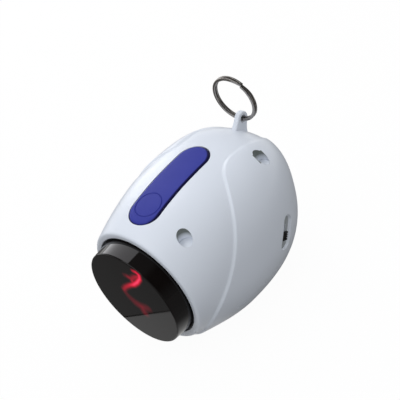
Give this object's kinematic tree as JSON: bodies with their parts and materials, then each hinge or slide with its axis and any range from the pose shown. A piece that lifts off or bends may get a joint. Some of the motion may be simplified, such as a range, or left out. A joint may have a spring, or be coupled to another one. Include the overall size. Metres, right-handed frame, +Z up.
{
  "type": "cat laser pointer",
  "caption": "Hand-held cat laser pointer: white egg-shaped case, dark round window, long blue push button, slide switch and steel split ring.",
  "frame": {"origin": "middle of the flat base that the case rests on, under the centre of the overall box", "axes": "+Z up out of the long push button; -Y is the way the round window looks; +X is the side with the slide switch"},
  "size_m": [0.0692, 0.1002, 0.092],
  "materials": {
    "white_shell": "satin moulded white ABS",
    "dark_window": "polished, very dark tint",
    "blue_button": "smooth semi-gloss blue",
    "ring_steel": "bright nickel-plated spring steel",
    "screw_steel": "zinc-plated",
    "switch_metal": "tinned steel frame",
    "black_knob": "black moulded",
    "board_green": "green solder mask",
    "grey_plastic": "moulded grey",
    "natural_plastic": "natural acetal",
    "cell_jacket": "plain printed-film jacket without words",
    "contact_nickel": "nickel-plated",
    "motor_can": "zinc-plated can",
    "brass": "machined",
    "mirror_glass": "front-silvered",
    "clear_lens": "clear"
  },
  "bodies": {
    "case": {"top_shell": "white_shell", "bottom_shell": "white_shell", "window_cap": "dark_window", "screw_plugs": "white_shell", "case_screws": "screw_steel", "slide_switch": "switch_metal", "switch_board": "board_green", "switch_screws": "screw_steel", "circuit_board": "board_green", "board_chip": "black_knob", "board_screws": "screw_steel", "press_switch": "black_knob", "battery_cells": "cell_jacket", "contact_springs": "contact_nickel", "spring_contacts": "contact_nickel", "button_contacts": "contact_nickel", "drive_frame": "grey_plastic", "frame_screws": "screw_steel", "motor": "motor_can", "idler_pin": "contact_nickel", "laser_module": "brass", "laser_lens": "clear_lens"},
    "button": {"push_button": "blue_button"},
    "plunger": {"press_plunger": "grey_plastic"},
    "knob": {"switch_knob": "black_knob"},
    "ring": {"split_ring": "ring_steel"},
    "cover": {"battery_cover": "white_shell", "cover_screw": "screw_steel"},
    "mirror_rotor": {"mirror_wheel": "natural_plastic", "mirror": "mirror_glass", "mirror_axle": "contact_nickel", "axle_clip": "contact_nickel"},
    "idler": {"idler_gear": "natural_plastic"},
    "motor_rotor": {"motor_pinion": "brass", "motor_shaft": "contact_nickel"}
  },
  "joints": [
    {"name": "button_press", "type": "hinge", "parent": "case", "child": "button", "pos_m": [0, 0.00925, 0.0662], "axis": [1, 0, 0], "range_deg": [0, 1.2], "stiffness_Nm_per_rad": 0.8, "springref_deg": -1.15},
    {"name": "plunger_press", "type": "slide", "parent": "case", "child": "plunger", "axis": [0, 0, -1], "range_m": [0, 0.00074]},
    {"name": "switch_slide", "type": "slide", "parent": "case", "child": "knob", "axis": [-0.0819, 0.5574, 0.8262], "range_m": [0, 0.0034]},
    {"name": "ring_swing", "type": "hinge", "parent": "case", "child": "ring", "pos_m": [0, 0.0394, 0.069], "axis": [1, 0, 0], "range_deg": [-145, 72]},
    {"name": "cover_lift", "type": "slide", "parent": "case", "child": "cover", "axis": [0, 0, -1], "range_m": [0, 0.03]},
    {"name": "mirror_spin", "type": "hinge", "parent": "case", "child": "mirror_rotor", "pos_m": [0, -0.02, 0.0345], "axis": [0, 0.7071, 0.7071], "continuous": true},
    {"name": "idler_spin", "type": "hinge", "parent": "case", "child": "idler", "pos_m": [0.01154, -0.00961, 0.03259], "axis": [0, 0.7071, 0.7071], "continuous": true},
    {"name": "motor_spin", "type": "hinge", "parent": "case", "child": "motor_rotor", "pos_m": [0, -0.00524, 0.02964], "axis": [0, 0.7071, 0.7071], "continuous": true}
  ],
  "couplings": [
    {"joint": "plunger_press", "follows": "button_press", "m_per_rad": 0.0345},
    {"joint": "idler_spin", "follows": "mirror_spin", "ratio": -3},
    {"joint": "motor_spin", "follows": "mirror_spin", "ratio": 7.5}
  ]
}
